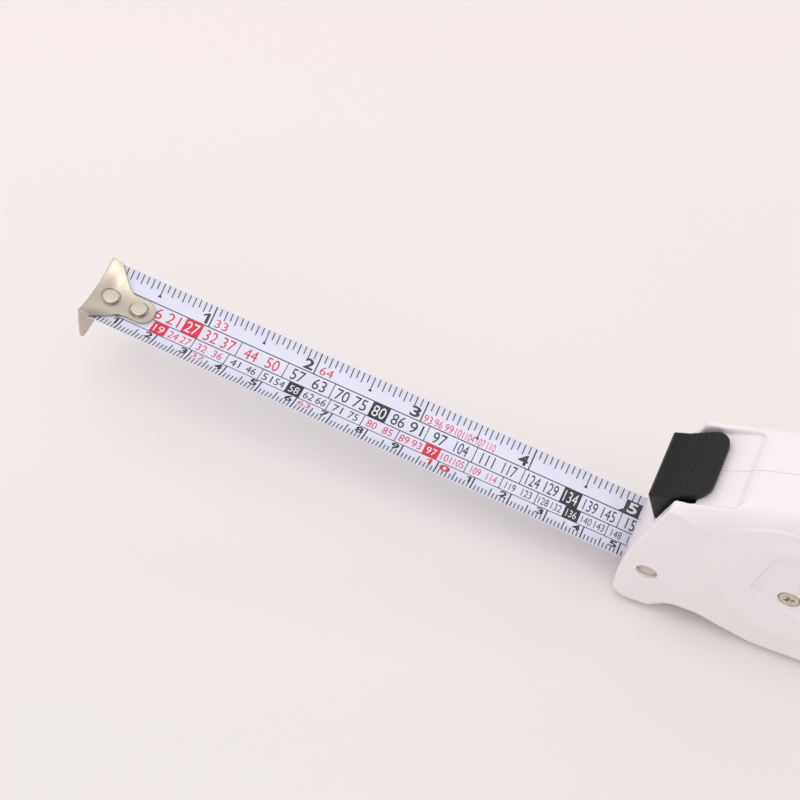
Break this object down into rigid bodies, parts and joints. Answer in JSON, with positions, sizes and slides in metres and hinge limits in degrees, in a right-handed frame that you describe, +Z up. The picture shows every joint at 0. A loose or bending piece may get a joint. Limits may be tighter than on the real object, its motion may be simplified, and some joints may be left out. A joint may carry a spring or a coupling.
{
  "type": "tape measure",
  "caption": "Pocket tape measure with its curved steel blade partly drawn out, a sliding end hook, a thumb lock and a spring reel in a two-piece case",
  "frame": {"origin": "on the flat underside of the case, on the seam, right under the axle of the reel", "axes": "X runs along the blade with the hook toward -X, Y is across the case, Z is up"},
  "size_m": [0.2232, 0.0296, 0.062],
  "materials": {
    "case_plastic": "gloss moulded ABS, warm white",
    "badge_foil": "plain pale label",
    "screw_steel": "plated steel",
    "washer_plastic": "nylon",
    "reel_plastic": "moulded plastic",
    "spring_steel": "blued spring steel",
    "blade_paint": "satin lacquer over steel",
    "hook_nickel": "nickel plate",
    "lock_plastic": "satin moulded plastic",
    "pad_rubber": "rubber"
  },
  "bodies": {
    "case": {"case_near": "case_plastic", "case_far": "case_plastic", "badge_near": "badge_foil", "badge_far": "badge_foil", "nose_pin": "screw_steel", "case_screws": "screw_steel", "centre_post": "screw_steel", "centre_screws": "screw_steel", "thrust_washers": "washer_plastic", "lock_spring": "spring_steel"},
    "reel": {"spool": "reel_plastic", "spool_cover": "reel_plastic", "return_spring": "spring_steel", "spring_rivet": "screw_steel", "blade_coil": "blade_paint"},
    "tape": {"blade": "blade_paint", "hook_rivets": "hook_nickel"},
    "hook": {"hook": "hook_nickel"},
    "lock": {"lock_slider": "lock_plastic", "lock_shoe": "lock_plastic", "lock_pads": "pad_rubber"}
  },
  "joints": [
    {"name": "reel_spin", "type": "hinge", "parent": "case", "child": "reel", "pos_m": [0, 0, 0.028], "axis": [0, -1, 0], "range_deg": [0, 381.97], "deforming": ["return_spring"]},
    {"name": "blade_slide", "type": "slide", "parent": "case", "child": "tape", "axis": [0.989, 0, -0.1478], "range_m": [0, 0.15], "deforming": ["blade"]},
    {"name": "hook_float", "type": "slide", "parent": "tape", "child": "hook", "axis": [-0.989, 0, 0.1478], "range_m": [0, 0.0009]},
    {"name": "lock_slide", "type": "slide", "parent": "case", "child": "lock", "axis": [0.887, 0, 0.4617], "range_m": [0, 0.005]}
  ],
  "couplings": [
    {"joint": "blade_slide", "follows": "reel_spin", "m_per_rad": 0.0225}
  ]
}
